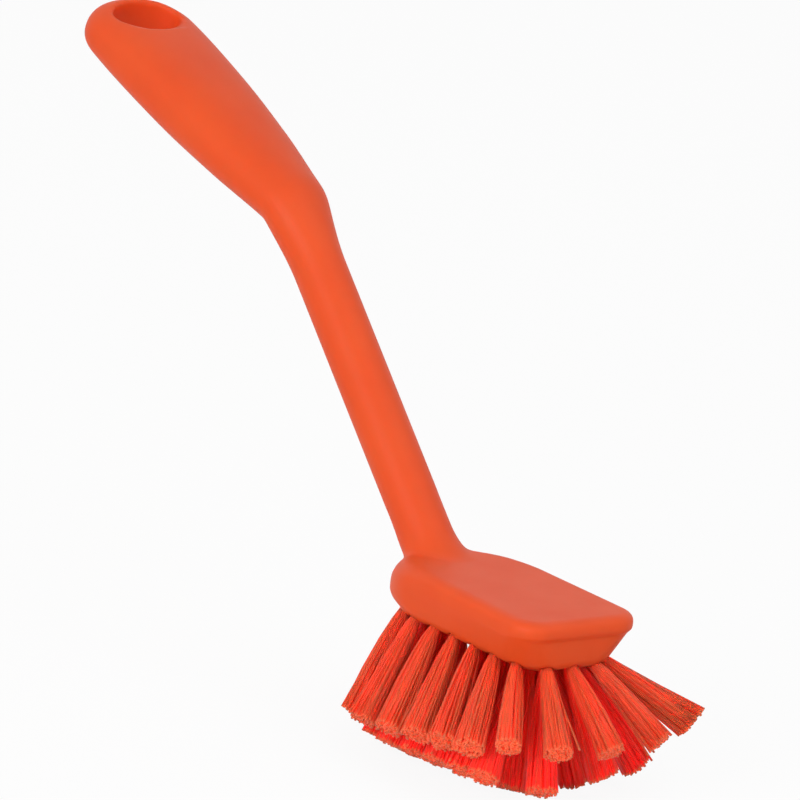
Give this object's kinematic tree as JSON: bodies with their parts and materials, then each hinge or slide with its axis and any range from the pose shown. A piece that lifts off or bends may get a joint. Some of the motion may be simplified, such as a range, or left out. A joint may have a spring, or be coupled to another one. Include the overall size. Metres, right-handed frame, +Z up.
{
  "type": "scrub brush",
  "caption": "Long-handled scrub brush: one moulded handle and rounded head with a scraping nose lip, a hanging hole in the grip, and bristle tufts that fan out below.",
  "frame": {"origin": "on the head's flat top face, on the middle plane, 34 mm behind the front of the scraping lip", "axes": "+Z up out of the flat top face, +X towards the scraping nose, +Y to the left of the nose; the handle rises towards -X"},
  "size_m": [0.2687, 0.0768, 0.1713],
  "materials": {
    "moulding": "satin moulded polypropylene",
    "bristles": "polyester filament, cut ends",
    "anchors": "cut stainless steel strip"
  },
  "bodies": {
    "root": {"handle_and_head": "moulding", "tuft_01": "bristles", "tuft_02": "bristles", "tuft_03": "bristles", "tuft_04": "bristles", "tuft_05": "bristles", "tuft_06": "bristles", "tuft_07": "bristles", "tuft_08": "bristles", "tuft_09": "bristles", "tuft_10": "bristles", "tuft_11": "bristles", "tuft_12": "bristles", "tuft_13": "bristles", "tuft_14": "bristles", "tuft_15": "bristles", "tuft_16": "bristles", "tuft_17": "bristles", "tuft_18": "bristles", "tuft_19": "bristles", "tuft_20": "bristles", "tuft_21": "bristles", "tuft_22": "bristles", "tuft_23": "bristles", "tuft_24": "bristles", "tuft_25": "bristles", "tuft_26": "bristles", "tuft_27": "bristles", "tuft_28": "bristles", "tuft_29": "bristles", "tuft_30": "bristles", "tuft_31": "bristles", "tuft_32": "bristles", "tuft_33": "bristles", "tuft_34": "bristles", "tuft_35": "bristles", "tuft_36": "bristles", "tuft_37": "bristles", "tuft_38": "bristles", "tuft_39": "bristles", "tuft_40": "bristles", "tuft_41": "bristles", "tuft_42": "bristles", "tuft_43": "bristles", "tuft_44": "bristles", "tuft_45": "bristles", "anchor_01": "anchors", "anchor_02": "anchors", "anchor_03": "anchors", "anchor_04": "anchors", "anchor_05": "anchors", "anchor_06": "anchors", "anchor_07": "anchors", "anchor_08": "anchors", "anchor_09": "anchors", "anchor_10": "anchors", "anchor_11": "anchors", "anchor_12": "anchors", "anchor_13": "anchors", "anchor_14": "anchors"}
  },
  "joints": []
}
